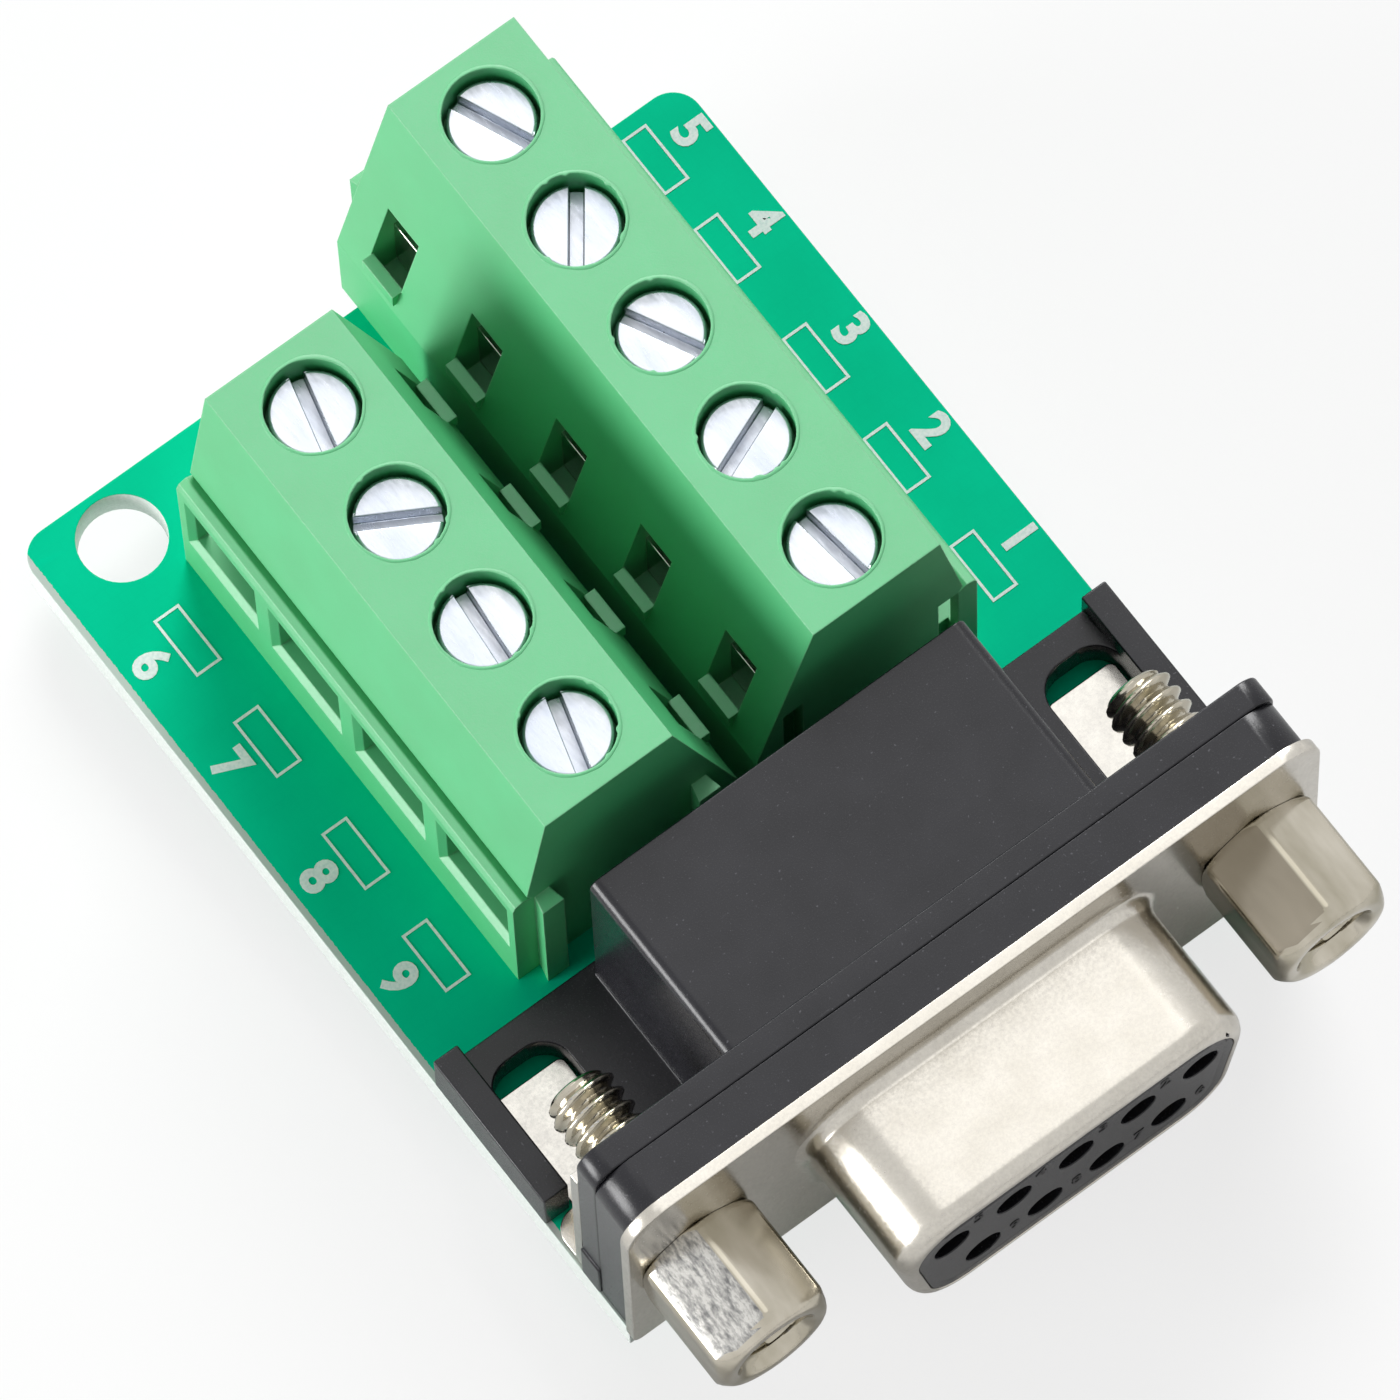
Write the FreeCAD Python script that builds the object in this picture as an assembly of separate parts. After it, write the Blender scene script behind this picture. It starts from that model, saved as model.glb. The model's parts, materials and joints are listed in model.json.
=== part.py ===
import FreeCAD, Part
import math
import os

# Every size is in millimetres and every angle in degrees. The pieces are laid
# out with X = 0 at the middle of the D connector, Y = 0 on the front of its
# metal flange and Z = 0 on top of the board. Y grows towards the back of the
# board. save() then moves the origin under the middle of the whole part.

# Contacts of the D connector, which set its width and the board's
UPPER_CONTACTS = 5
LOWER_CONTACTS = 4
CONTACT_PITCH = 2.77
ROW_SPACING = 2.84
SOCKET_R = 0.77
SOCKET_BORE_R = 0.55
SOCKET_BORE_DEEP = 3.4
SOCKET_SUNK = 0.9
TAIL_THICK = 0.6
TAIL_LENGTH = 1.6
TAIL_PLAY = 0.04
TAIL_SETBACK = 0.61

# Metal shell and flange of the D connector. A margin runs from the last
# contact to the shell's end, from there to the fixing axis, and on to the
# flange's end.
SHELL_MARGIN = 2.625
FIX_MARGIN = 4.33
FLANGE_MARGIN = 2.91
FLANGE_TALL = 12.55
FLANGE_LIFT = 0.425
FLANGE_THICK = 0.5
FLANGE_CORNER = 1.7
FLANGE_FOOT = 0.4
SHELL_TALL = 7.9
SHELL_LENGTH = 6.05
SHELL_WALL = 0.42
SHELL_CORNER = 2.6
SHELL_SLANT = 10.0
SHELL_FRONT = 0.6
SHELL_LIP = 1.0
SHELL_MOUTH = 1.05
SHELL_ROOT = 0.6
FACE_SETBACK = 0.15

# Black mouldings behind the metal flange
LAYER_FRONT = 1.85
LAYER_REAR = 1.1
LAYER_INSET = 0.3
LAYER_FRONT_CORNER = 1.5
LAYER_REAR_CORNER = 0.9
BODY_MARGIN = 2.81
BODY_RISE = 4.8
BODY_LENGTH = 8.3
BODY_WALL = 0.9
BODY_EDGE = 0.5
ARM_EXTRA = 0.4
ARM_TALL = 1.6
ARM_ROOT = 0.5
RAIL_TALL = 2.6
RAIL_EXTRA = 0.15
WINDOW_INNER = 1.595
WINDOW_OUTER = 1.605
WINDOW_END = 1.15
WINDOW_CORNER = 1.2
NOTCH_LENGTH = 2.15

# Circuit board
BOARD_INSET = 0.205
BOARD_SETBACK = 0.6
BOARD_THICK = 1.6
BOARD_CORNER = 1.2
BOARD_SHORT = 0.96
FIX_HOLE_R = 1.7
FIX_HOLE_SIDE = 3.4
FIX_HOLE_REAR = 2.05

# Grounding bracket on each side
PLATE_THICK = 0.45
PLATE_INNER = 2.895
PLATE_GAP = 0.1
PLATE_RISE = 3.3
PLATE_LIFT = 0.05
FOOT_THICK = 0.4
FOOT_END = 0.7
FOOT_GAP = 0.08
FOOT_CORNER = 0.3
WING_GAP = 0.15
WING_CORNER = 0.9
LOCK_HOLE_R = 1.5
LOCK_SETBACK = 1.5
PRONG_LENGTH = 1.7
PRONG_THICK = 0.45
PRONG_WIDE = 1.2
PRONG_BARB = 0.18
PRONG_TAPER = 0.8
PRONG_PLAY = 0.05

# Jackscrew on each side
JACK_FLATS = 4.75
JACK_LENGTH = 4.8
JACK_CHAMFER = 0.55
JACK_NOSE = 0.2
JACK_HEEL = 0.25
JACK_THREAD_R = 1.42
JACK_PLAY = 0.18
JACK_BEHIND = 4.3
JACK_BORE_R = 1.15
JACK_MOUTH_R = 1.6
JACK_FLOOR = 0.6

# Terminal blocks. U is the distance out from a block's inner side, V runs
# along its row of poles.
PITCH = 5.08
POLES_RIGHT = 5
POLES_LEFT = 4
BLOCK_GAP = 1.36
BLOCK_APART = 0.84
BLOCK_DEEP = 10.0
BLOCK_TALL = 14.1
BLOCK_WALL = 4.7
BLOCK_INNER_SLOPE = 2.71
BLOCK_OUTER_SLOPE = 1.64
LIP_TALL = 7.9
LIP_STEP = 0.65
LIP_CORNER = 0.4
LIP_GROOVE = 0.2
KEY_INNER = 1.7
KEY_OUTER = 1.3
KEY_NECK = 0.65
KEY_WIDE = 0.95
KEY_LENGTH = 0.7
KEY_TALL = 7.6
KEY_PLAY = 0.12

# Terminal screw
SCREW_SHIFT = 0.085
SHANK_R = 1.45
SHANK_PLAY = 0.05
HEAD_OVERLAP = 0.21
HEAD_PLAY = 0.16
HEAD_TALL = 1.3
HEAD_SUNK = 0.7
HEAD_CHAMFER = 0.1
DRIVE_WIDE = 0.55
DRIVE_DEEP = 0.75
DRIVE_ANGLES = [97, 22, 117, 53, 113, 76, 150, 85, 74]
LEDGE = 0.6

# Clamp cage that the screw lifts, and its pocket
CAGE_TRAVEL = 2.2
CAGE_WALL = 0.35
CAGE_LENGTH = 4.4
CAGE_SIDE = 0.4
CAGE_FLOOR = 0.7
CAGE_TOP = 1.5
CAGE_PLAY = 0.1
POCKET_BEHIND = 0.25
POCKET_AHEAD = 0.55
POCKET_FLOOR = 3.0
ENTRY_STEP = 0.05
ENTRY_FUNNEL = 0.25
PEEP_WIDE = 1.85
PEEP_TALL = 3.2
PEEP_DROP = 0.6
PEEP_SUNK = 2.0
SILL_PROUD = 0.4
SILL_THICK = 0.1
SILL_TALL = 0.8

# Contact strip under each cage's top
STRIP_THICK = 0.8
STRIP_SETBACK = 1.5
STRIP_HOLD = 0.6
STRIP_PLAY = 0.2
PIN_WIDE = 1.0
PIN_LENGTH = 1.9
PIN_PLAY = 0.02

# How far a cutting tool runs past the face it cuts
PAST = 1.0

ROW_HALF = (UPPER_CONTACTS - 1) * CONTACT_PITCH / 2
SHELL_HALF = ROW_HALF + SHELL_MARGIN
FIX_X = SHELL_HALF + FIX_MARGIN
FLANGE_HALF = FIX_X + FLANGE_MARGIN
BOARD_HALF = FLANGE_HALF - BOARD_INSET
BODY_HALF = ROW_HALF + BODY_MARGIN
AXIS_Z = FLANGE_LIFT + FLANGE_TALL / 2
BODY_TOP = AXIS_Z + BODY_RISE
FIX_CLEAR_R = JACK_THREAD_R + JACK_PLAY

FRONT_SEAM = FLANGE_THICK + LAYER_FRONT
STACK_REAR = FRONT_SEAM + LAYER_REAR
BODY_REAR = STACK_REAR + BODY_LENGTH
ARM_REAR = BODY_REAR + ARM_EXTRA
RAIL_REAR = ARM_REAR + RAIL_EXTRA
WINDOW_X0 = FIX_X - WINDOW_INNER
WINDOW_X1 = FIX_X + WINDOW_OUTER
WINDOW_REAR = ARM_REAR - WINDOW_END
NOTCH_REAR = STACK_REAR + NOTCH_LENGTH
TAIL_UPPER_Y = BODY_REAR - BODY_WALL - TAIL_SETBACK
TAIL_LOWER_Y = TAIL_UPPER_Y - ROW_SPACING
PLATE_REAR = STACK_REAR + PLATE_THICK
FOOT_REAR = WINDOW_REAR - FOOT_END
LOCK_Y = FOOT_REAR - LOCK_SETBACK

TOP_U0 = BLOCK_INNER_SLOPE
TOP_U1 = BLOCK_DEEP - BLOCK_OUTER_SLOPE
SCREW_U = (TOP_U0 + TOP_U1) / 2 - SCREW_SHIFT
HEAD_R = SHANK_R + HEAD_OVERLAP
CAGE_HALF = SHANK_R + SHANK_PLAY + CAGE_WALL
CAGE_INNER = CAGE_HALF - CAGE_SIDE
POCKET_HALF = CAGE_HALF + CAGE_PLAY
POCKET_U0 = SCREW_U - CAGE_LENGTH / 2 - POCKET_BEHIND
POCKET_U1 = SCREW_U + CAGE_LENGTH / 2 + POCKET_AHEAD
ENTRY_HALF = POCKET_HALF - ENTRY_STEP
STRIP_HALF = CAGE_INNER - STRIP_PLAY
STRIP_U1 = POCKET_U1 + STRIP_HOLD
LEG_U1 = STRIP_SETBACK + STRIP_THICK
LEDGE_Z = BLOCK_TALL - HEAD_SUNK - HEAD_TALL
POCKET_TOP = LEDGE_Z - LEDGE
CAGE_REST_TOP = POCKET_TOP - CAGE_PLAY - CAGE_TRAVEL
CAGE_LOW = POCKET_FLOOR + CAGE_PLAY
STRIP_TOP = CAGE_REST_TOP - CAGE_TOP - STRIP_PLAY
STRIP_LOW = STRIP_TOP - STRIP_THICK
PEEP_LOW = STRIP_LOW - PEEP_DROP

BLOCK_FRONT = RAIL_REAR + BLOCK_GAP
BLOCK_REAR = BLOCK_FRONT + POLES_RIGHT * PITCH
BOARD_REAR = BLOCK_REAR - BOARD_SHORT
FIX_HOLE_X = FIX_HOLE_SIDE - BOARD_HALF
FIX_HOLE_Y = BOARD_REAR - FIX_HOLE_REAR
TAIL_HOLE_R = TAIL_THICK / math.sqrt(2) + TAIL_PLAY
PIN_HOLE_R = math.hypot(PIN_WIDE, STRIP_THICK) / 2 + PIN_PLAY
LOWEST = -BOARD_THICK - max(PIN_LENGTH, TAIL_LENGTH, PRONG_LENGTH)
MIDDLE_Y = (BLOCK_REAR + KEY_LENGTH - SHELL_LENGTH) / 2

UP = FreeCAD.Vector(0, 0, 1)
BACK = FreeCAD.Vector(0, 1, 0)


def box(x0, x1, y0, y1, z0, z1):
    return Part.makeBox(x1 - x0, y1 - y0, z1 - z0, FreeCAD.Vector(x0, y0, z0))


def post(x, y, z0, z1, radius):
    return Part.makeCylinder(radius, z1 - z0, FreeCAD.Vector(x, y, z0), UP)


def rod(x, z, y0, y1, radius):
    return Part.makeCylinder(radius, y1 - y0, FreeCAD.Vector(x, y0, z), BACK)


def cone_back(x, z, y0, y1, r0, r1):
    return Part.makeCone(r0, r1, y1 - y0, FreeCAD.Vector(x, y0, z), BACK)


def prism_back(points, y0, y1):
    corners = [FreeCAD.Vector(x, y0, z) for x, z in points]
    wire = Part.makePolygon(corners + corners[:1])
    return Part.Face(wire).extrude(FreeCAD.Vector(0, y1 - y0, 0))


def prism_up(points, z0, z1):
    corners = [FreeCAD.Vector(x, y, z0) for x, y in points]
    wire = Part.makePolygon(corners + corners[:1])
    return Part.Face(wire).extrude(FreeCAD.Vector(0, 0, z1 - z0))


def runs_along(edge, axis):
    if not isinstance(edge.Curve, Part.Line):
        return False
    return abs(edge.Curve.Direction.dot(axis)) > 0.999999


def round_edges(shape, radius, axis, keep=lambda middle: True):
    chosen = []
    for edge in shape.Edges:
        if runs_along(edge, axis) and keep(edge.BoundBox.Center):
            chosen.append(edge)
    return shape.makeFillet(radius, chosen)


def join(pieces):
    whole = pieces[0]
    for piece in pieces[1:]:
        whole = whole.fuse(piece)
    return whole.removeSplitter()


def cut_all(shape, tools):
    for tool in tools:
        shape = shape.cut(tool)
    return shape


def sides():
    return [("left", -1), ("right", 1)]


def mirrored(shape, side):
    if side > 0:
        return shape
    return shape.mirror(FreeCAD.Vector(0, 0, 0), FreeCAD.Vector(1, 0, 0))


def save(name, shape):
    moved = shape.copy()
    moved.translate(FreeCAD.Vector(0, -MIDDLE_Y, -LOWEST))
    moved.exportStep("parts/" + name + ".step")


def contact_rows():
    # Each contact: its number, X, height and the Y of its tail. The long row
    # is on top and its tails reach further back.
    spots = []
    for first, count, rise, tail_y in (
        (1, UPPER_CONTACTS, ROW_SPACING / 2, TAIL_UPPER_Y),
        (1 + UPPER_CONTACTS, LOWER_CONTACTS, -ROW_SPACING / 2, TAIL_LOWER_Y),
    ):
        for i in range(count):
            x = ((count - 1) / 2 - i) * CONTACT_PITCH
            spots.append((first + i, x, AXIS_Z + rise, tail_y))
    return spots


def poles():
    # Each pole: its number, the side of its block and its V.
    spots = []
    for i in range(POLES_RIGHT):
        spots.append((1 + i, "right", (i + 0.5) * PITCH))
    for i in range(POLES_LEFT):
        spots.append((1 + POLES_RIGHT + i, "left", (i + 0.5) * PITCH))
    return spots


def seat_block(shape, row):
    # Lays a block's own pieces on the board. The left block is the same
    # moulding turned end for end, so both rows of wires enter from outside.
    placed = shape.copy()
    placed.translate(FreeCAD.Vector(BLOCK_APART / 2, BLOCK_FRONT, 0))
    if row == "left":
        middle = FreeCAD.Vector(0, BLOCK_FRONT + POLES_LEFT * PITCH / 2, 0)
        placed.rotate(middle, UP, 180)
    return placed


def seat_point(u, v, row):
    if row == "right":
        return BLOCK_APART / 2 + u, BLOCK_FRONT + v
    return -BLOCK_APART / 2 - u, BLOCK_FRONT + POLES_LEFT * PITCH - v


def circuit_board():
    rear = BOARD_REAR
    board = box(-BOARD_HALF, BOARD_HALF, BOARD_SETBACK, rear, -BOARD_THICK, 0)
    board = round_edges(board, BOARD_CORNER, UP, lambda middle: middle.y > rear / 2)
    through = (-BOARD_THICK - PAST, PAST)
    holes = [post(FIX_HOLE_X, FIX_HOLE_Y, *through, FIX_HOLE_R)]
    for _, x, _, y in contact_rows():
        holes.append(post(x, y, *through, TAIL_HOLE_R))
    for _, row, v in poles():
        x, y = seat_point(STRIP_SETBACK + STRIP_THICK / 2, v, row)
        holes.append(post(x, y, *through, PIN_HOLE_R))
    for _, side in sides():
        holes.append(post(side * FIX_X, LOCK_Y, *through, LOCK_HOLE_R))
    return cut_all(board, holes)


def block_profile(length):
    # Seen along the row: upright inner wall, slope, flat top, steep outer
    # slope, a fine groove and the rounded lip over the wire entries.
    outer = BLOCK_DEEP
    shoulder = outer - LIP_STEP
    corner = LIP_CORNER
    middle = corner * (1 - math.sqrt(0.5))
    points = [
        (0, 0),
        (0, BLOCK_WALL),
        (TOP_U0, BLOCK_TALL),
        (TOP_U1, BLOCK_TALL),
        (shoulder, LIP_TALL + LIP_GROOVE),
        (shoulder - LIP_GROOVE, LIP_TALL - LIP_GROOVE),
        (shoulder + LIP_GROOVE, LIP_TALL),
        (outer - corner, LIP_TALL),
        (outer - middle, LIP_TALL - middle),
        (outer, LIP_TALL - corner),
        (outer, 0),
    ]
    return prism_back(points, 0, length)


def key_shape(u, v, play):
    # A dovetail key that points along +V from the end face at v.
    neck = KEY_NECK / 2 + play
    wide = KEY_WIDE / 2 + play
    tip = v + KEY_LENGTH + play
    root = v - KEY_NECK / 4
    points = [(u - neck, root), (u + neck, root), (u + neck, v), (u + wide, tip)]
    points += [(u - wide, tip), (u - neck, v)]
    return prism_up(points, 0, KEY_TALL + play)


def key_places():
    return [KEY_INNER, BLOCK_DEEP - KEY_OUTER]


def slope_u(z):
    # The inner side is upright up to the slope's foot.
    return TOP_U0 * max(0, z - BLOCK_WALL) / (BLOCK_TALL - BLOCK_WALL)


def entry_funnel(v):
    # The mouth of a wire entry opens out by a small slope.
    grow = ENTRY_FUNNEL
    faces = []
    for u, add in ((BLOCK_DEEP - grow, 0), (BLOCK_DEEP + grow, 2 * grow)):
        half = ENTRY_HALF + add
        low, high = POCKET_FLOOR - add, STRIP_LOW + add
        corners = [
            FreeCAD.Vector(u, v - half, low),
            FreeCAD.Vector(u, v + half, low),
            FreeCAD.Vector(u, v + half, high),
            FreeCAD.Vector(u, v - half, high),
        ]
        faces.append(Part.makePolygon(corners + corners[:1]))
    return Part.makeLoft(faces, True, True)


def pole_cuts(v):
    # The pocket of the cage, the wire entry, the strip's slot and leg, the
    # window in the slope, which is deeper behind its sill, and the screw's bore.
    half = POCKET_HALF
    wide = STRIP_HALF
    entry = ENTRY_HALF
    peep = PEEP_WIDE / 2
    entry_u0 = (SCREW_U + POCKET_U1) / 2
    peep_u1 = (POCKET_U0 + SCREW_U) / 2
    return [
        box(POCKET_U0, POCKET_U1, v - half, v + half, POCKET_FLOOR, POCKET_TOP),
        box(entry_u0, BLOCK_DEEP + PAST, v - entry, v + entry, POCKET_FLOOR, STRIP_LOW),
        entry_funnel(v),
        box(STRIP_SETBACK, STRIP_U1, v - wide, v + wide, STRIP_LOW, STRIP_TOP),
        box(STRIP_SETBACK, LEG_U1, v - wide, v + wide, -PAST, STRIP_TOP),
        box(-PAST, peep_u1, v - peep, v + peep, PEEP_LOW, PEEP_LOW + PEEP_TALL),
        box(sill_inner(), LEG_U1, v - peep, v + peep, PEEP_LOW - PEEP_SUNK, STRIP_LOW),
        post(SCREW_U, v, POCKET_TOP - PAST, BLOCK_TALL, SHANK_R + SHANK_PLAY),
        post(SCREW_U, v, LEDGE_Z, BLOCK_TALL + PAST, HEAD_R + HEAD_PLAY),
    ]


def sill_inner():
    return slope_u(PEEP_LOW) + SILL_THICK


def sill(v):
    half = PEEP_WIDE / 2
    proud = slope_u(PEEP_LOW) - SILL_PROUD
    return box(proud, STRIP_SETBACK, v - half, v + half, PEEP_LOW - SILL_TALL, PEEP_LOW)


def block_housing(row, count):
    length = count * PITCH
    centres = [(i + 0.5) * PITCH for i in range(count)]
    parts = [block_profile(length)] + [sill(v) for v in centres]
    parts += [key_shape(u, length, 0) for u in key_places()]
    housing = join(parts)
    for v in centres:
        housing = cut_all(housing, pole_cuts(v))
    keyways = [key_shape(u, 0, KEY_PLAY) for u in key_places()]
    return seat_block(cut_all(housing, keyways), row)


def terminal_screw(v, row, angle):
    # The tip stops just over the strip, inside the cage's window.
    head_top = LEDGE_Z + HEAD_TALL
    tip = STRIP_TOP + SHANK_PLAY
    shank = post(SCREW_U, v, tip, LEDGE_Z + HEAD_TALL / 2, SHANK_R)
    head = post(SCREW_U, v, LEDGE_Z, head_top, HEAD_R)
    rim = [edge for edge in head.Edges if edge.BoundBox.ZMin > head_top - 0.01]
    screw = join([head.makeChamfer(HEAD_CHAMFER, rim), shank])
    half = DRIVE_WIDE / 2
    reach = HEAD_R + PAST
    floor = head_top - DRIVE_DEEP
    slot = box(SCREW_U - reach, SCREW_U + reach, v - half, v + half, floor, head_top + PAST)
    slot.rotate(FreeCAD.Vector(SCREW_U, v, 0), UP, angle)
    return seat_block(screw.cut(slot), row)


def clamp_cage(v, row):
    u0 = SCREW_U - CAGE_LENGTH / 2
    u1 = u0 + CAGE_LENGTH
    cage = box(u0, u1, v - CAGE_HALF, v + CAGE_HALF, CAGE_LOW, CAGE_REST_TOP)
    floor = CAGE_LOW + CAGE_FLOOR
    ceiling = CAGE_REST_TOP - CAGE_TOP
    window = box(u0 - PAST, u1 + PAST, v - CAGE_INNER, v + CAGE_INNER, floor, ceiling)
    thread = post(SCREW_U, v, floor, CAGE_REST_TOP + PAST, SHANK_R + SHANK_PLAY)
    return seat_block(cut_all(cage, [window, thread]), row)


def contact_strip(v, row):
    wide = STRIP_HALF
    pin = PIN_WIDE / 2
    leg_u0, leg_u1 = STRIP_SETBACK, LEG_U1
    strip = join([
        box(leg_u0, STRIP_U1, v - wide, v + wide, STRIP_LOW, STRIP_TOP),
        box(leg_u0, leg_u1, v - wide, v + wide, 0, STRIP_TOP),
        box(leg_u0, leg_u1, v - pin, v + pin, -BOARD_THICK - PIN_LENGTH, STRIP_LOW),
    ])
    return seat_block(strip, row)


def d_prism(inset, y0, y1):
    # The shell's D outline taken in by the inset, with its long side on top,
    # run along Y and rounded.
    tall = SHELL_TALL - 2 * inset
    lean = math.tan(math.radians(SHELL_SLANT)) * tall
    top, low = AXIS_Z + tall / 2, AXIS_Z - tall / 2
    half_top = SHELL_HALF - inset
    half_low = half_top - lean
    points = [(-half_top, top), (half_top, top), (half_low, low), (-half_low, low)]
    return round_edges(prism_back(points, y0, y1), SHELL_CORNER - inset, BACK)


def flange_plate():
    top = FLANGE_LIFT + FLANGE_TALL
    plate = box(-FLANGE_HALF, FLANGE_HALF, 0, FLANGE_THICK, FLANGE_LIFT, top)
    plate = round_edges(plate, FLANGE_CORNER, BACK, lambda middle: middle.z > AXIS_Z)
    return round_edges(plate, FLANGE_FOOT, BACK, lambda middle: middle.z < AXIS_Z / 4)


def stack_layer(corner, y0, y1):
    # A black layer behind the metal flange. It stands on the board.
    half = FLANGE_HALF - LAYER_INSET
    top = FLANGE_LIFT + FLANGE_TALL - LAYER_INSET / 2
    layer = box(-half, half, y0, y1, 0, top)
    return round_edges(layer, corner, BACK, lambda middle: middle.z > AXIS_Z)


def loops_at(shape, y):
    # The edges of the shell's tube that lie in the plane at y.
    found = []
    for edge in shape.Edges:
        limits = edge.BoundBox
        flat = abs(limits.YMin - y) < 1e-4 and abs(limits.YMax - y) < 1e-4
        if flat and max(abs(limits.XMin), abs(limits.XMax)) < SHELL_HALF + 0.1:
            found.append(edge)
    return found


def fix_holes(y0, y1, radius):
    return [rod(side * FIX_X, AXIS_Z, y0, y1, radius) for _, side in sides()]


def connector_shell():
    # The tube's front is drawn in to a rounded lip round a smaller mouth.
    front = -SHELL_LENGTH
    shell = flange_plate().fuse(d_prism(0, front, FLANGE_THICK)).removeSplitter()
    shell = shell.makeFillet(SHELL_LIP, loops_at(shell, front))
    shell = shell.makeFillet(SHELL_ROOT, loops_at(shell, 0))
    hollow = d_prism(SHELL_WALL, front + SHELL_FRONT, FLANGE_THICK + PAST)
    mouth = d_prism(SHELL_MOUTH, front - PAST, front / 2)
    holes = fix_holes(-PAST, FLANGE_THICK + PAST, FIX_CLEAR_R)
    return cut_all(shell, [hollow, mouth] + holes)


def contact_insulator():
    # The black plug that fills the shell and its mouth, with the front layer.
    face = -SHELL_LENGTH + FACE_SETBACK
    plug = d_prism(SHELL_WALL, -SHELL_LENGTH + SHELL_FRONT, FRONT_SEAM)
    nose = d_prism(SHELL_MOUTH, face, 0)
    layer = stack_layer(LAYER_FRONT_CORNER, FLANGE_THICK, FRONT_SEAM)
    tools = fix_holes(0, FRONT_SEAM + PAST, FIX_CLEAR_R)
    for _, x, z, _ in contact_rows():
        tools.append(rod(x, z, face - PAST, FRONT_SEAM + PAST, SOCKET_R))
    return cut_all(join([plug, nose, layer]), tools)


def arm(side):
    # The foot beside the body, with a window, and the raised outer rail.
    plate = box(BODY_HALF - ARM_ROOT, BOARD_HALF, FRONT_SEAM, ARM_REAR, 0, ARM_TALL)
    rail = box(WINDOW_X1, BOARD_HALF, FRONT_SEAM, RAIL_REAR, 0, RAIL_TALL)
    high = RAIL_TALL + PAST
    window = box(WINDOW_X0, WINDOW_X1, STACK_REAR, WINDOW_REAR, -PAST, high)
    rear_end = WINDOW_REAR - WINDOW_CORNER
    window = round_edges(window, WINDOW_CORNER, UP, lambda middle: middle.y > rear_end)
    notch = box(WINDOW_X1 - 0.1, BOARD_HALF + PAST, STACK_REAR, NOTCH_REAR, -PAST, high)
    return mirrored(cut_all(join([plate, rail]), [window, notch]), side)


def rear_housing():
    # A layer of the flange stack, the body with its room for the contacts'
    # bent tails, open underneath, and the two arms.
    half = BODY_HALF
    layer = stack_layer(LAYER_REAR_CORNER, FRONT_SEAM, STACK_REAR)
    body = box(-half, half, FRONT_SEAM, BODY_REAR, 0, BODY_TOP)
    body = round_edges(body, BODY_EDGE, BACK, lambda middle: middle.z > BODY_TOP - BODY_EDGE)
    whole = join([layer, body] + [arm(side) for _, side in sides()])
    wall = BODY_WALL
    room_x = half - wall
    room_top = BODY_TOP - wall
    room = box(-room_x, room_x, STACK_REAR, BODY_REAR - wall, -PAST, room_top)
    low = AXIS_Z - ROW_SPACING / 2 - SOCKET_R
    mouth = box(-ROW_HALF - wall, ROW_HALF + wall, FRONT_SEAM - PAST, BODY_REAR - wall, low, room_top)
    return cut_all(whole, [room, mouth] + fix_holes(0, STACK_REAR + PAST, FIX_CLEAR_R))


def socket_contact(x, z, tail_y):
    front = -SHELL_LENGTH + FACE_SETBACK + SOCKET_SUNK
    rear = STACK_REAR
    half = TAIL_THICK / 2
    low = -BOARD_THICK - TAIL_LENGTH
    contact = join([
        rod(x, z, front, rear, SOCKET_R),
        box(x - half, x + half, rear - half, tail_y + half, z - half, z + half),
        box(x - half, x + half, tail_y - half, tail_y + half, low, z + half),
    ])
    return contact.cut(rod(x, z, front - PAST, front + SOCKET_BORE_DEEP, SOCKET_BORE_R))


def prong(x, lean):
    # One leg of the board lock, with a small barb under the board.
    inner = x - lean * PRONG_THICK
    tip = -BOARD_THICK - PRONG_LENGTH
    root = FOOT_THICK / 2
    barb = (x + lean * PRONG_BARB, tip + PRONG_TAPER)
    points = [(inner, root), (inner, tip), (x, tip), barb, (x, -BOARD_THICK), (x, root)]
    half = PRONG_WIDE / 2
    return prism_back(points, LOCK_Y - half, LOCK_Y + half)


def grounding_bracket(side):
    # A bent strip: the plate behind the flange stack stops short of the body
    # and of the arm, the foot lies on the board inside the arm's window.
    x0 = WINDOW_X0 + FOOT_GAP
    x1 = WINDOW_X1 - FOOT_GAP
    outer = BOARD_HALF - PLATE_GAP
    lift = ARM_TALL + PLATE_LIFT
    over = lift + PLATE_LIFT
    wing = box(x0, outer, STACK_REAR, NOTCH_REAR - WING_GAP, 0, FOOT_THICK)
    wing = round_edges(wing, WING_CORNER, UP, lambda p: p.x > x1 and p.y > PLATE_REAR)
    foot = box(x0, x1, STACK_REAR, FOOT_REAR, 0, FOOT_THICK)
    foot = round_edges(foot, FOOT_CORNER, UP, lambda p: p.y > FOOT_REAR - FOOT_CORNER)
    whole = join([
        box(FIX_X - PLATE_INNER, outer, STACK_REAR, PLATE_REAR, lift, AXIS_Z + PLATE_RISE),
        box(x0, outer, STACK_REAR, PLATE_REAR, 0, over),
        foot,
        wing,
        prong(FIX_X - LOCK_HOLE_R + PRONG_BARB + PRONG_PLAY, -1),
        prong(FIX_X + LOCK_HOLE_R - PRONG_BARB - PRONG_PLAY, 1),
    ])
    thread = rod(FIX_X, AXIS_Z, STACK_REAR - PAST, PLATE_REAR + PAST, JACK_THREAD_R)
    return mirrored(whole.cut(thread), side)


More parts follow.
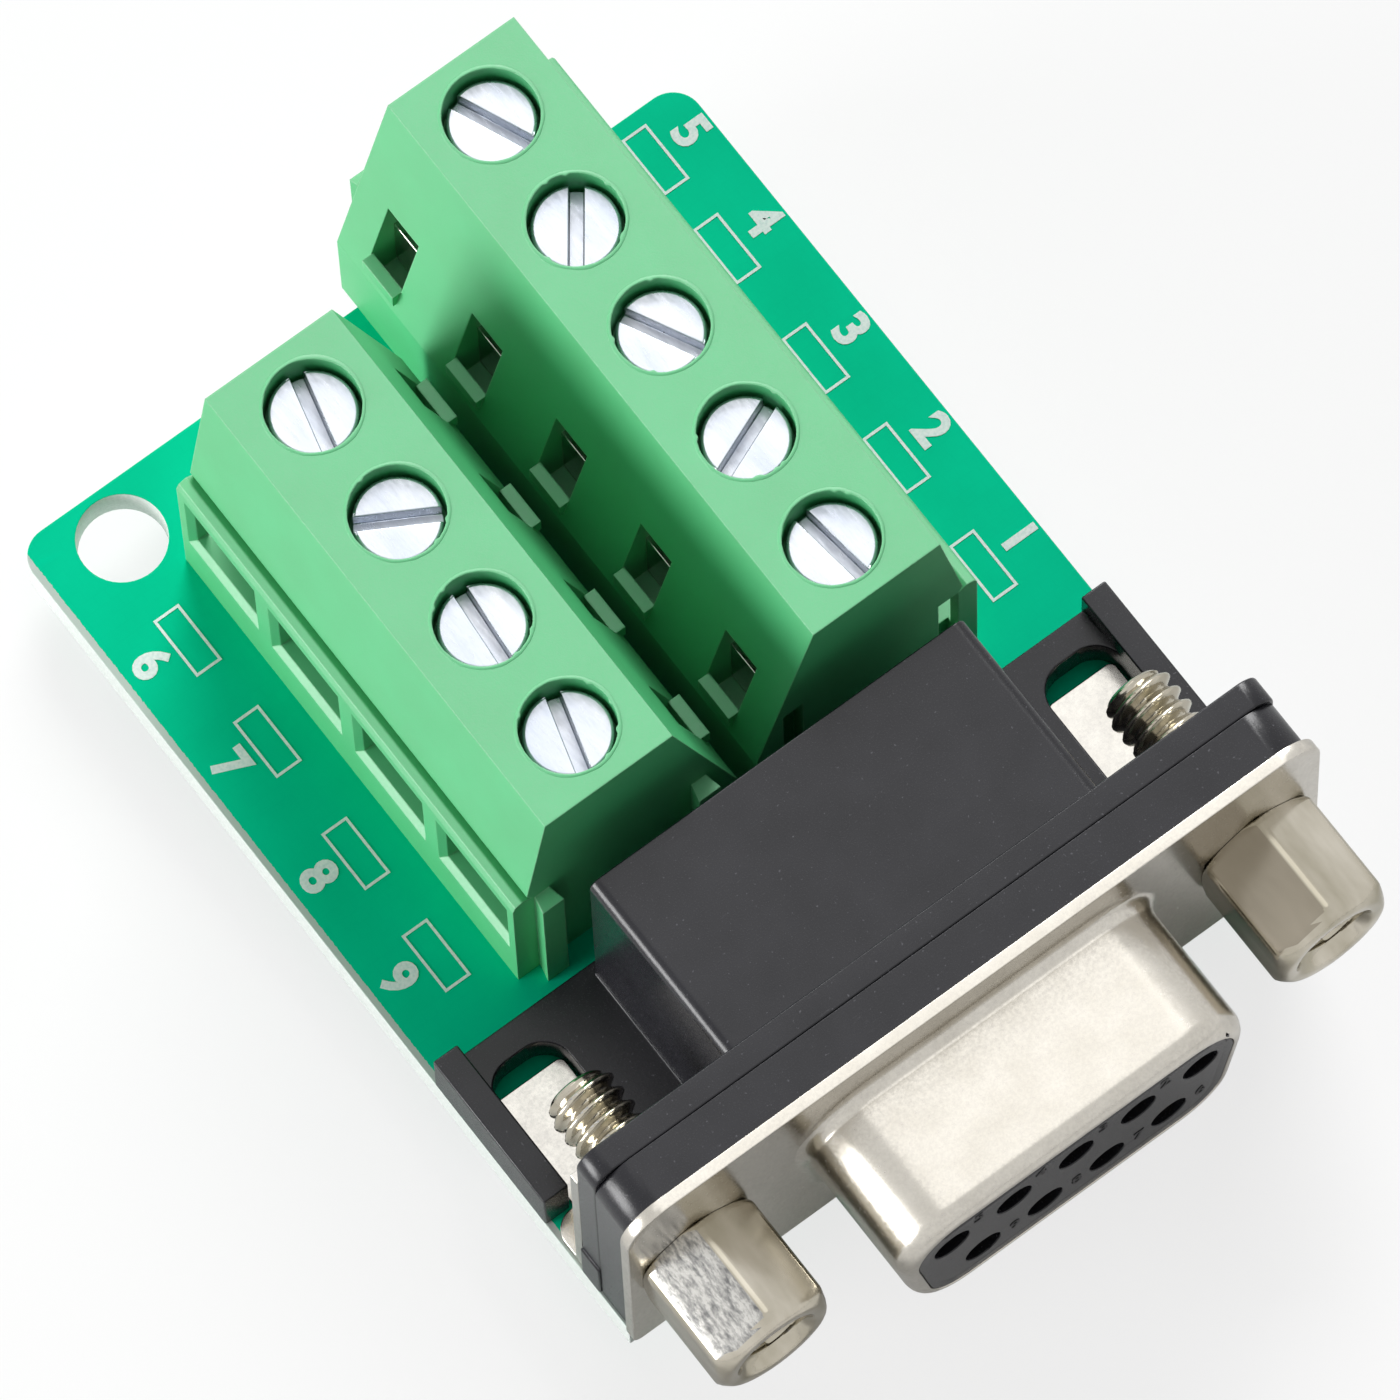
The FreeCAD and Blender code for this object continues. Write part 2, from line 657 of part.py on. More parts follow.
def jackscrew(side):
    x = side * FIX_X
    corner = JACK_FLATS / math.sqrt(3)
    angles = [math.radians(90 + 60 * i) for i in range(6)]
    points = [(x + corner * math.cos(a), AXIS_Z + corner * math.sin(a)) for a in angles]
    front = -JACK_LENGTH
    shoulder = front + JACK_CHAMFER
    # Both ends of the hexagon are turned down.
    turned = join([
        cone_back(x, AXIS_Z, front, shoulder, JACK_FLATS / 2 - JACK_NOSE, corner),
        rod(x, AXIS_Z, shoulder, -JACK_HEEL, corner),
        cone_back(x, AXIS_Z, -JACK_HEEL, 0, corner, corner - JACK_HEEL),
    ])
    head = prism_back(points, front, 0).common(turned)
    tail = PLATE_REAR + JACK_BEHIND
    whole = join([head, rod(x, AXIS_Z, front / 2, tail, JACK_THREAD_R)])
    bore = rod(x, AXIS_Z, front - PAST, -JACK_FLOOR, JACK_BORE_R)
    deep = JACK_MOUTH_R - JACK_BORE_R
    mouth = cone_back(x, AXIS_Z, front, front + deep, JACK_MOUTH_R, JACK_BORE_R)
    return cut_all(whole, [bore, mouth])


os.makedirs("parts", exist_ok=True)

save("circuit_board", circuit_board())
save("terminal_block_5way", block_housing("right", POLES_RIGHT))
save("terminal_block_4way", block_housing("left", POLES_LEFT))
for number, row, v in poles():
    save("terminal_screw_%d" % number, terminal_screw(v, row, DRIVE_ANGLES[number - 1]))
    save("clamp_cage_%d" % number, clamp_cage(v, row))
    save("contact_strip_%d" % number, contact_strip(v, row))
save("connector_shell", connector_shell())
save("contact_insulator", contact_insulator())
save("rear_housing", rear_housing())
for number, x, z, tail_y in contact_rows():
    save("socket_contact_%d" % number, socket_contact(x, z, tail_y))
for name, side in sides():
    save("grounding_bracket_" + name, grounding_bracket(side))
    save("jackscrew_" + name, jackscrew(side))
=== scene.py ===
import bpy
import bmesh
import json
import math
import random
from mathutils import Matrix, Vector


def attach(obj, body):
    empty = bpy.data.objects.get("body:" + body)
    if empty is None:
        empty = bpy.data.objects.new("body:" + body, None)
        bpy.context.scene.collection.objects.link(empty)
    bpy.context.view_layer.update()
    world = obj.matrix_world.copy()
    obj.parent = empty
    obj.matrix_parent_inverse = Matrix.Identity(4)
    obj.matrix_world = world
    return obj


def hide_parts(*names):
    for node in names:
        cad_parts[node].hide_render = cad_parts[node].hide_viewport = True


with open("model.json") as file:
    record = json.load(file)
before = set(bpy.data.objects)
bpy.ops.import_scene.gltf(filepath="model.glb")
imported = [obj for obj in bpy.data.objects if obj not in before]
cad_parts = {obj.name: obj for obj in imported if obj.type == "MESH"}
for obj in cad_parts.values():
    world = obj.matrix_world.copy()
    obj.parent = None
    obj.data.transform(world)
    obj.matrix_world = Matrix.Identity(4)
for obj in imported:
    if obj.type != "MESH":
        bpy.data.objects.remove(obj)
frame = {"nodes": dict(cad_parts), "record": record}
nodes = frame["nodes"]
scene = bpy.context.scene
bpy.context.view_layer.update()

# Sizes are in mm and angles in degrees. Places are counted from the middle of the socket along x and y,
# and from the board's top along z.
MM = 0.001
MIDDLE_Y = 16.855
BOARD_LIFT = 3.5
BOARD_THICK = 1.6
BOARD_EDGE_X = -14.98
AXIS_Z = 6.7
FACE_Y = -5.9
FIX_X = 12.495
CONTACT_PITCH = 2.77
ROW_SPACING = 2.84

SHELL_HALF = 8.165
SHELL_TALL = 7.9
SHELL_CORNER = 2.6
SHELL_SLANT = 10.0
SHELL_FOOT = 0.6
SHELL_INSIDE = 0.42
SHELL_LIP = 0.76
LIP_FRONT = -5.93
FLANGE_HALF = 15.405
FLANGE_TALL = 12.55
FLANGE_THICK = 0.5
FLANGE_HOLE = 1.6
FLANGE_EDGE = 0.05
FLANGE_CORNERS = (1.7, 1.7, 0.4, 0.4)

JACK_FLAT = 4.75 / 2
JACK_CORNER = 2.665
JACK_PITCH = 0.635
JACK_STUD = 1.10
JACK_CREST = 0.32
JACK_BORE = 1.42
JACK_GROOVE = -0.27

PITCH = 5.08
POLES_RIGHT = 5
POLES_LEFT = 4
BLOCK_FRONT = 13.66
BLOCK_INNER = 0.42
BLOCK_TOP = 14.1
SCREW_U = 5.45
HOLE_RADIUS = 1.80
FLASH_RADIUS = 1.93
BLOCK_EDGE = 0.08

PRINT_THICK = 0.02
DIGIT_SIZE = 1.95
DIGIT_STROKE = 0.035
NOTE_WIDE = 2.7
NOTE_TALL = 1.15
NOTE_LINE = 0.11
MOULDED_SIZE = 0.92


def at(x, y, z):
    """A point in mm from the middle of the socket, z over the board's top, as a place in the scene."""
    return Vector((x, y - MIDDLE_Y, z + BOARD_LIFT)) * MM


# Materials

def tree(name):
    material = bpy.data.materials.new(name)
    material.use_nodes = True
    graph = material.node_tree
    return material, graph, graph.nodes["Principled BSDF"]


def node(graph, kind, **values):
    """A new node; each value goes to the input of that name, or else to the node's own setting."""
    made = graph.nodes.new(kind)
    for key, value in values.items():
        if key in made.inputs:
            made.inputs[key].default_value = value
        else:
            setattr(made, key, value)
    return made


def link(graph, a, output, b, entry):
    graph.links.new(a.outputs[output], b.inputs[entry])


def place(graph, stretch=(1, 1, 1)):
    """Coordinates in mm, so that every texture is the same size on every piece."""
    where = node(graph, "ShaderNodeTexCoord")
    scaled = node(graph, "ShaderNodeMapping")
    scaled.inputs["Scale"].default_value = [1000 * s for s in stretch]
    link(graph, where, "Object", scaled, "Vector")
    return scaled


def noise(graph, where, scale, detail=3, rough=0.5):
    made = node(graph, "ShaderNodeTexNoise", Scale=scale, Detail=detail, Roughness=rough)
    link(graph, where, "Vector", made, "Vector")
    return made


def grey(level):
    return level, level, level


def ramp(graph, source, stops):
    """A noise's value as a colour, from (place, colour) stops."""
    made = node(graph, "ShaderNodeValToRGB")
    band = made.color_ramp
    while len(band.elements) < len(stops):
        band.elements.new(0.5)
    for element, (spot, colour) in zip(band.elements, stops):
        element.position = spot
        element.color = (*colour, 1)
    link(graph, source, "Fac", made, "Fac")
    return made


def mix(graph, factor, a, b, blend="MIX"):
    """Mixes two colours; each value is a colour, a number, a socket or the node that gives it."""
    made = graph.nodes.new("ShaderNodeMix")
    made.data_type = "RGBA"
    made.blend_type = blend
    for value, socket in ((factor, made.inputs[0]), (a, made.inputs[6]), (b, made.inputs[7])):
        if isinstance(value, bpy.types.Node):
            shown = 2 if value.bl_idname == "ShaderNodeMix" else 0
            graph.links.new(value.outputs[shown], socket)
        elif isinstance(value, bpy.types.NodeSocket):
            graph.links.new(value, socket)
        else:
            socket.default_value = value
    return made


def maths(graph, work, a, b=None, c=None, clamp=False):
    made = graph.nodes.new("ShaderNodeMath")
    made.operation = work
    made.use_clamp = clamp
    for value, socket in zip((a, b, c), made.inputs):
        if isinstance(value, bpy.types.NodeSocket):
            graph.links.new(value, socket)
        elif value is not None:
            socket.default_value = value
    return made.outputs[0]


def bump(graph, shader, height, strength, depth):
    """Relief from a socket's value; the depth is in mm."""
    made = node(graph, "ShaderNodeBump", Strength=strength, Distance=depth * MM)
    graph.links.new(height, made.inputs["Height"])
    link(graph, made, "Normal", shader, "Normal")
    return made


def facing(graph, direction):
    """How far a face looks in a direction, 1 at most."""
    face = node(graph, "ShaderNodeNewGeometry")
    toward = node(graph, "ShaderNodeVectorMath", operation="DOT_PRODUCT")
    link(graph, face, "True Normal", toward, 0)
    toward.inputs[1].default_value = direction
    return toward.outputs["Value"]


def steep(graph):
    """1 on faces that stand upright, 0 on level ones."""
    return maths(graph, "LESS_THAN", maths(graph, "ABSOLUTE", facing(graph, (0, 0, 1))), 0.7)


def solder_mask():
    """Green over a faint weave, with raw cut edges and a bare ragged line along the left margin."""
    material, graph, shader = tree("solder_mask_green")
    where = place(graph)
    cloud = noise(graph, where, 0.22, 2)
    green = ramp(graph, cloud, [(0.3, (0.0, 0.48, 0.26)), (0.7, (0.0, 0.54, 0.30))])
    weave = node(graph, "ShaderNodeTexBrick", Scale=1.0)
    weave.inputs["Brick Width"].default_value = 0.5
    weave.inputs["Row Height"].default_value = 0.5
    weave.inputs["Mortar Size"].default_value = 0.04
    link(graph, where, "Vector", weave, "Vector")
    top = mix(graph, 0.02, green, weave, "MULTIPLY")
    grain = noise(graph, where, 9, 4)
    raw = ramp(graph, grain, [(0.3, (0.62, 0.65, 0.63)), (0.7, (0.76, 0.78, 0.76))])
    parts = node(graph, "ShaderNodeSeparateXYZ")
    link(graph, where, "Vector", parts, "Vector")
    ragged = maths(graph, "MULTIPLY_ADD", grain.outputs["Fac"], 0.10, BOARD_EDGE_X)
    bare = maths(graph, "LESS_THAN", parts.outputs["X"], ragged)
    margin = mix(graph, bare, top, (0.50, 0.53, 0.51, 1))
    edge = mix(graph, steep(graph), margin, raw)
    graph.links.new(edge.outputs[2], shader.inputs["Base Color"])
    gloss = ramp(graph, cloud, [(0, grey(0.36)), (1, grey(0.48))])
    link(graph, gloss, "Color", shader, "Roughness")
    shader.inputs["Specular IOR Level"].default_value = 0.4
    shader.inputs["Specular Tint"].default_value = (0.0, 1.0, 0.45, 1)
    bump(graph, shader, grain.outputs["Fac"], 0.12, 0.02)
    return material


def polyamide():
    """Moulded green; its edges look rounded through the shading normal, and a thin uneven paler line is
    painted along them as a painted highlight.
    """
    material, graph, shader = tree("green_polyamide")
    where = place(graph)
    cloud = noise(graph, where, 0.35, 3)
    body = ramp(graph, cloud, [(0.25, (0.0, 0.345, 0.092)), (0.75, (0.004, 0.395, 0.115))])
    grain = noise(graph, where, 14, 4, 0.6)
    flecks = ramp(graph, grain, [(0.35, grey(0.9)), (0.7, grey(1.04))])
    tinted = mix(graph, 0.5, body, flecks, "MULTIPLY")
    corner = node(graph, "ShaderNodeBevel", samples=6, Radius=BLOCK_EDGE * MM)
    face = node(graph, "ShaderNodeNewGeometry")
    turn = node(graph, "ShaderNodeVectorMath", operation="DOT_PRODUCT")
    link(graph, corner, "Normal", turn, 0)
    link(graph, face, "Normal", turn, 1)
    bent = maths(graph, "SUBTRACT", 1.0, turn.outputs["Value"])
    # The paler line is a painted highlight, masked where the rounded shading normal turns away from the face
    # and broken up by noise.
    ragged = noise(graph, where, 2.2, 4, 0.7)
    wear_and_edge_highlight = maths(graph, "MULTIPLY", bent, maths(graph, "MULTIPLY", ragged.outputs["Fac"], 9.0), clamp=True)
    painted_edge_highlight = mix(graph, maths(graph, "MULTIPLY", wear_and_edge_highlight, 0.45), tinted, (0.30, 0.66, 0.36, 1))
    graph.links.new(painted_edge_highlight.outputs[2], shader.inputs["Base Color"])
    gloss = ramp(graph, grain, [(0.2, grey(0.54)), (0.8, grey(0.68))])
    link(graph, gloss, "Color", shader, "Roughness")
    shader.inputs["Specular IOR Level"].default_value = 1.0
    shader.inputs["IOR"].default_value = 1.8
    relief = bump(graph, shader, grain.outputs["Fac"], 0.2, 0.02)
    link(graph, corner, "Normal", relief, "Normal")
    return material


def black_plastic(name, low, high, shine):
    """Black with fine grain, a few scuffs and specks of dust."""
    material, graph, shader = tree(name)
    where = place(graph)
    grain = noise(graph, where, 16, 4, 0.6)
    cloud = noise(graph, where, 0.5, 4)
    body = ramp(graph, cloud, [(0.3, low), (0.7, high)])
    scuffs = noise(graph, place(graph, (1, 6, 6)), 0.9, 5, 0.7)
    wear_and_edge_highlight = ramp(graph, scuffs, [(0.66, grey(0)), (0.74, grey(0.35))])
    tinted = mix(graph, wear_and_edge_highlight, body, (0.10, 0.10, 0.11, 1))
    dust = noise(graph, where, 7, 2, 0.4)
    specks = ramp(graph, dust, [(0.71, grey(0)), (0.76, grey(0.5))])
    dusty = mix(graph, specks, tinted, (0.16, 0.16, 0.18, 1))
    graph.links.new(dusty.outputs[2], shader.inputs["Base Color"])
    gloss = ramp(graph, grain, [(0.2, grey(0.18)), (0.8, grey(0.32))])
    link(graph, gloss, "Color", shader, "Roughness")
    shader.inputs["Specular IOR Level"].default_value = shine
    bump(graph, shader, grain.outputs["Fac"], 0.25, 0.02)
    return material


def metal(name, dark, light, rough, scratch=0.15, stretch=(1, 1, 1), fine=6.0):
    """Metal between two tones, rougher and darker along its scratches."""
    material, graph, shader = tree(name)
    where = place(graph, stretch)
    cloud = noise(graph, where, 0.8, 4)
    lines = noise(graph, where, fine, 5, 0.65)
    tone = ramp(graph, cloud, [(0.3, dark), (0.7, light)])
    marks = ramp(graph, lines, [(0.3, (0.78, 0.78, 0.80)), (0.62, grey(1))])
    tinted = mix(graph, 0.6, tone, marks, "MULTIPLY")
    graph.links.new(tinted.outputs[2], shader.inputs["Base Color"])
    shader.inputs["Metallic"].default_value = 1
    low, high = rough
    gloss = ramp(graph, lines, [(0.25, grey(high)), (0.7, grey(low))])
    link(graph, gloss, "Color", shader, "Roughness")
    bump(graph, shader, lines.outputs["Fac"], scratch, 0.015)
    return material


def turned_nickel():
    """Smooth olive-toned facets; the one that looks up and to the left is brushed and pitted on the left
    jackscrew, and on the right one it is painted a darker brown as a painted dark reflection."""
    material, graph, shader = tree("turned_nickel")
    where = place(graph, (1, 0.35, 1))
    spot = node(graph, "ShaderNodeSeparateXYZ")
    link(graph, where, "Vector", spot, "Vector")
    on_left = maths(graph, "LESS_THAN", spot.outputs["X"], 0.0)
    cloud = noise(graph, where, 0.7, 3)
    tone = ramp(graph, cloud, [(0.3, (0.36, 0.33, 0.25)), (0.7, (0.58, 0.54, 0.46))])
    scratches = noise(graph, where, 5.0, 5, 0.7)
    pits = ramp(graph, scratches, [(0.34, grey(0.16)), (0.58, (0.56, 0.55, 0.52))])
    up_left = maths(graph, "GREATER_THAN", facing(graph, (-0.5, 0.0, 0.866)), 0.97)
    rough_side = maths(graph, "MULTIPLY", up_left, on_left)
    # On the right jackscrew the up-left facet is painted darker brown: a painted dark reflection, not
    # tarnish.
    dark_reflection_facet = maths(graph, "SUBTRACT", up_left, rough_side)
    painted_dark_reflection = mix(graph, cloud.outputs["Fac"], (0.24, 0.21, 0.16, 1), (0.40, 0.36, 0.29, 1))
    reflection_darkened = mix(graph, dark_reflection_facet, tone, painted_dark_reflection)
    tinted = mix(graph, rough_side, reflection_darkened, pits)
    graph.links.new(tinted.outputs[2], shader.inputs["Base Color"])
    shader.inputs["Metallic"].default_value = 1
    gloss = maths(graph, "MULTIPLY_ADD", rough_side, 0.02, 0.17)
    graph.links.new(gloss, shader.inputs["Roughness"])
    depth = maths(graph, "ADD", rough_side, 0.12)
    bump(graph, shader, maths(graph, "MULTIPLY", scratches.outputs["Fac"], depth), 0.16, 0.02)
    return material


def silk_ink():
    material, graph, shader = tree("silk_ink")
    where = place(graph)
    grain = noise(graph, where, 8, 4)
    tone = ramp(graph, grain, [(0.3, (0.60, 0.72, 0.70)), (0.6, (0.76, 0.82, 0.80))])
    link(graph, tone, "Color", shader, "Base Color")
    shader.inputs["Roughness"].default_value = 0.6
    bump(graph, shader, grain.outputs["Fac"], 0.2, 0.01)
    return material


GRAIN_ALONG_Y = (1, 0.25, 1)
paints = {
    "solder_mask_green": solder_mask(),
    "green_polyamide": polyamide(),
    "black_plastic": black_plastic("black_plastic", (0.010, 0.010, 0.013), (0.017, 0.017, 0.021), 0.36),
    "nickel_plate": metal("nickel_plate", (0.56, 0.53, 0.47), (0.62, 0.59, 0.53), (0.18, 0.30), 0.06),
    "zinc_plate": metal("zinc_plate", (0.46, 0.50, 0.57), (0.60, 0.62, 0.66), (0.22, 0.46), 0.5,
                        GRAIN_ALONG_Y, 5.0),
    "tin_plate": metal("tin_plate", (0.54, 0.52, 0.48), (0.64, 0.62, 0.57), (0.14, 0.26), 0.1),
    "contact_gold": metal("contact_gold", (0.58, 0.42, 0.17), (0.74, 0.56, 0.26), (0.22, 0.36)),
}
TURNED_NICKEL = turned_nickel()
SILK = silk_ink()
# A darker black for the socket digits: painted shade standing for the shadow in their engraving.
ENGRAVING_SHADE = black_plastic("engraved_shade_black", (0.003, 0.003, 0.004), (0.006, 0.006, 0.007), 0.1)
SOLDER = metal("solder", grey(0.60), grey(0.74), (0.22, 0.40), 0.3)


# The solids' own meshes

def even_normals(piece, weight, keep_sharp):
    even = piece.modifiers.new("even", "WEIGHTED_NORMAL")
    even.weight = weight
    even.keep_sharp = keep_sharp


def soften(piece, width):
    """Rounds the sharp edges a little, so that they catch the light as moulded and stamped ones do."""
    weld = piece.modifiers.new("weld", "WELD")
    weld.merge_threshold = 1e-6
    flat = piece.modifiers.new("flat", "DECIMATE")
    flat.decimate_type = "DISSOLVE"
    flat.angle_limit = math.radians(0.5)
    edge = piece.modifiers.new("edge", "BEVEL")
    edge.width = width * MM
    edge.segments = 2
    edge.limit_method = "ANGLE"
    edge.angle_limit = math.radians(30)
    edge.use_clamp_overlap = False
    edge.miter_outer = "MITER_ARC"
    even_normals(piece, 80, False)


for part in frame["record"]["subparts"]:
    shown = nodes[part["node"]]
    shown.data.materials.clear()
    shown.data.materials.append(paints[part["material_slot"]])

# The jackscrews and the shell are replaced below, and the blocks' edges are rounded by their material.
for name, shown in nodes.items():
    if not name.startswith(("jackscrew", "connector_shell", "terminal_block")):
        soften(shown, 0.08 if "housing" in name else 0.05)


# Helpers for new pieces

def add(name, verts, faces, paint, body="adapter", smooth=True, sharp=50):
    """A piece from points and faces, shaded smooth across edges of up to the sharp angle."""
    mesh = bpy.data.meshes.new(name)
    mesh.from_pydata([tuple(v) for v in verts], [], faces)
    mesh.validate()
    work = bmesh.new()
    work.from_mesh(mesh)
    bmesh.ops.remove_doubles(work, verts=work.verts, dist=1e-7)
    bmesh.ops.recalc_face_normals(work, faces=work.faces)
    work.to_mesh(mesh)
    work.free()
    for polygon in mesh.polygons:
        polygon.use_smooth = smooth
    if smooth:
        mesh.set_sharp_from_angle(angle=math.radians(sharp))
    piece = bpy.data.objects.new(name, mesh)
    scene.collection.objects.link(piece)
    mesh.materials.append(paint)
    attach(piece, body)
    return piece


def lofted(rings, closed=False):
    """Faces between rings of points, with both ends filled if closed; all rings have as many points."""
    verts = [p for ring in rings for p in ring]
    count = len(rings[0])
    faces = []
    for i in range(len(rings) - 1):
        for j in range(count):
            k = (j + 1) % count
            faces.append((i * count + j, i * count + k, (i + 1) * count + k, (i + 1) * count + j))
    if closed:
        faces.append(tuple(range(count)))
        faces.append(tuple((len(rings) - 1) * count + j for j in range(count)))
    return verts, faces


# Jackscrews

def thread_height(turn):
    """0 at the root and 1 at the crest of a thread, with both rounded off."""
    part = turn % 1
    rise = min(part, 1 - part) * 2
    return max(0.0, min(1.0, (rise - 0.12) / 0.7))


def soft_least(a, b, sharp=40):
    """The lesser of two lengths, with a round passage from one to the other."""
    return (a ** -sharp + b ** -sharp) ** (-1 / sharp)


FACET_STEPS = (0, 1.6, 3.0, 4.0, 10, 20, 30, 40, 50, 56.0, 57.0, 58.4)
JACK_ANGLES = [60 * facet + step for facet in range(6) for step in FACET_STEPS]


def jack_ring(x, y, radius, hexed=False, thread=0.0):
    ring = []
    for angle in JACK_ANGLES:
        a = math.radians(angle)
        r = radius
        if hexed:
            corner = JACK_FLAT / math.cos(math.radians(angle % 60 - 30))
            r = soft_least(soft_least(corner, radius), JACK_CORNER, 70)
        if thread:
            r += thread * thread_height(y / JACK_PITCH - angle / 360)
        ring.append(at(x + r * math.sin(a), y, AXIS_Z + r * math.cos(a)))
    return ring


# (y, radius) along a jackscrew, from its tail to its mouth. The heel and the nose are cut from a hexagon.
JACK_TIP = [(7.3, 0.90), (7.29, 1.0), (7.24, 1.08), (7.15, 1.16)]
JACK_HEEL = [(0.0, 2.40), (-0.015, 2.48), (-0.10, 2.58), (-0.24, 2.74), (-0.30, 2.95), (-0.36, 3.4)]
JACK_NOSE = [(-4.12, 3.4), (-4.2, 2.85), (-4.3, 2.69), (-4.5, 2.485), (-4.66, 2.32), (-4.75, 2.22),
             (-4.79, 2.15), (-4.8, 2.06)]
JACK_MOUTH = [(-4.8, 1.80), (-4.78, 1.74), (-4.70, 1.67), (-4.5, 1.52), (-4.32, 1.42)]


def jackscrew(name, x):
    """A hexagon with turned-down ends on a threaded stud, bored and threaded from the front."""
    rings = [jack_ring(x, y, r) for y, r in JACK_TIP]
    y = 7.1
    while y > 0.1:
        rings.append(jack_ring(x, y, JACK_STUD, thread=min(JACK_CREST, 0.1 + 0.9 * (7.15 - y))))
        y -= JACK_PITCH / 8
    rings.append(jack_ring(x, 0.0, 1.42))
    rings += [jack_ring(x, y, r, True) for y, r in JACK_HEEL + JACK_NOSE]
    rings += [jack_ring(x, y, r) for y, r in JACK_MOUTH]
    y = -4.25
    while y < -0.8:
        rings.append(jack_ring(x, y, JACK_BORE, thread=JACK_GROOVE))
        y += JACK_PITCH / 8
    rings.append(jack_ring(x, -0.7, 0.9))
    rings.append(jack_ring(x, -0.6, 0.2))
    verts, faces = lofted(rings, True)
    piece = add(name + "_turned", verts, faces, TURNED_NICKEL)
    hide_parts(name)
    even_normals(piece, 60, True)


jackscrew("jackscrew_left", -FIX_X)
jackscrew("jackscrew_right", FIX_X)


# Shell and flange

def rounded(corners, radii, steps=10):
    """A polygon's outline with each corner turned into an arc."""
    outline = []
    for i, corner in enumerate(corners):
        corner = Vector(corner)
        before = (Vector(corners[i - 1]) - corner).normalized()
        after = (Vector(corners[(i + 1) % len(corners)]) - corner).normalized()
        half = before.angle(after) / 2
        radius = radii[i]
        centre = corner + (before + after).normalized() * radius / math.sin(half)
        start = corner + before * radius / math.tan(half) - centre
        end = corner + after * radius / math.tan(half) - centre
        turn = start.angle_signed(end)
        for step in range(steps + 1):
            a = -turn * step / steps
            outline.append((centre.x + start.x * math.cos(a) - start.y * math.sin(a),
                            centre.y + start.x * math.sin(a) + start.y * math.cos(a)))
    return outline


def upright(outline, y):
    return [at(x, y, AXIS_Z + z) for x, z in outline]


def d_ring(inset, y):
    """The shell's D outline, taken in by the inset, at a depth of y."""
    tall = SHELL_TALL - 2 * inset
    half_top = SHELL_HALF - inset
    half_low = half_top - math.tan(math.radians(SHELL_SLANT)) * tall
    corners = [(-half_top, tall / 2), (half_top, tall / 2), (half_low, -tall / 2), (-half_low, -tall / 2)]
    return upright(rounded(corners, [SHELL_CORNER - inset] * 4), y)


def flange_ring(inset, y):
    half, tall = FLANGE_HALF - inset, FLANGE_TALL / 2 - inset
    corners = [(-half, tall), (half, tall), (half, -tall), (-half, -tall)]
    return upright(rounded(corners, [radius - inset for radius in FLANGE_CORNERS]), y)


def hole_ring(side, y, count=40):
    turns = [2 * math.pi * i / count for i in range(count)]
    circle = [(side * FIX_X + FLANGE_HOLE * math.cos(a), FLANGE_HOLE * math.sin(a)) for a in turns]
    return upright(circle, y)


def plate_faces(loops):
    """Triangles that fill the first loop and leave the others open; all lie in one plane."""
    work = bmesh.new()
    edges = []
    for loop in loops:
        made = [work.verts.new(p) for p in loop]
        edges += [work.edges.new((made[i - 1], made[i])) for i in range(len(made))]
    bmesh.ops.triangle_fill(work, use_beauty=True, use_dissolve=False, edges=edges)
    work.verts.index_update()
    verts = [v.co.copy() for v in work.verts]
    faces = [tuple(v.index for v in face.verts) for face in work.faces]
    work.free()
    return verts, faces


def arc(count, centre, radius, start, end):
    """Points (inset, y) on an arc in the plane of the shell's wall."""
    for i in range(count + 1):
        a = math.radians(start + (end - start) * i / count)
        yield centre[0] + radius * math.cos(a), centre[1] + radius * math.sin(a)


def stamped_shell():
    """The shell and its flange as one drawn sheet, with a round lip about the black face."""
    verts, faces = [], []

    def take(part):
        shift = len(verts)
        verts.extend(part[0])
        faces.extend(tuple(i + shift for i in face) for face in part[1])

    wall = list(arc(6, (-SHELL_FOOT, -SHELL_FOOT), SHELL_FOOT, 90, 0))
    wall += arc(10, (SHELL_LIP, LIP_FRONT + SHELL_LIP), SHELL_LIP, 180, 270)
    wall += [(0.79, -5.90), (0.79, -5.62), (SHELL_INSIDE, -5.3), (SHELL_INSIDE, FLANGE_THICK)]
    take(lofted([d_ring(inset, y) for inset, y in wall]))
    rim = [(FLANGE_EDGE, 0.0), (0.015, 0.015), (0.0, 0.05), (0.0, 0.45), (0.015, 0.485),
           (FLANGE_EDGE, FLANGE_THICK)]
    take(lofted([flange_ring(inset, y) for inset, y in rim]))
    for side in (-1, 1):
        take(lofted([hole_ring(side, y) for y in (0.0, FLANGE_THICK)]))
    for y, inset in ((0.0, -SHELL_FOOT), (FLANGE_THICK, SHELL_INSIDE)):
        holes = [hole_ring(side, y) for side in (-1, 1)]
        take(plate_faces([flange_ring(FLANGE_EDGE, y), d_ring(inset, y)] + holes))
    piece = add("shell_drawn", verts, faces, paints["nickel_plate"], sharp=40)
    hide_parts("connector_shell")
    even_normals(piece, 80, True)


stamped_shell()

# The black face reaches out to the shell's lip.
edge = [(0.80, -5.2), (0.80, -5.86), (0.84, -5.905), (1.30, -5.905), (1.36, -5.895)]
verts, faces = lofted([d_ring(inset, y) for inset, y in edge])
add("face_edge", verts, faces, paints["black_plastic"])


# Terminal blocks

def seat_point(u, v, row):
    """A place u out from the middle of the board and v along a row, counted from its first pole."""
    if row == "right":
        return BLOCK_INNER + u, BLOCK_FRONT + v
    return -BLOCK_INNER - u, BLOCK_FRONT + POLES_LEFT * PITCH - v


def screw_places():
    places = [(i + 1, "right", (i + 0.5) * PITCH) for i in range(POLES_RIGHT)]
    places += [(POLES_RIGHT + 1 + i, "left", (i + 0.5) * PITCH) for i in range(POLES_LEFT)]
    for number, row, v in places:
        x, y = seat_point(SCREW_U, v, row)
        yield number, x, y


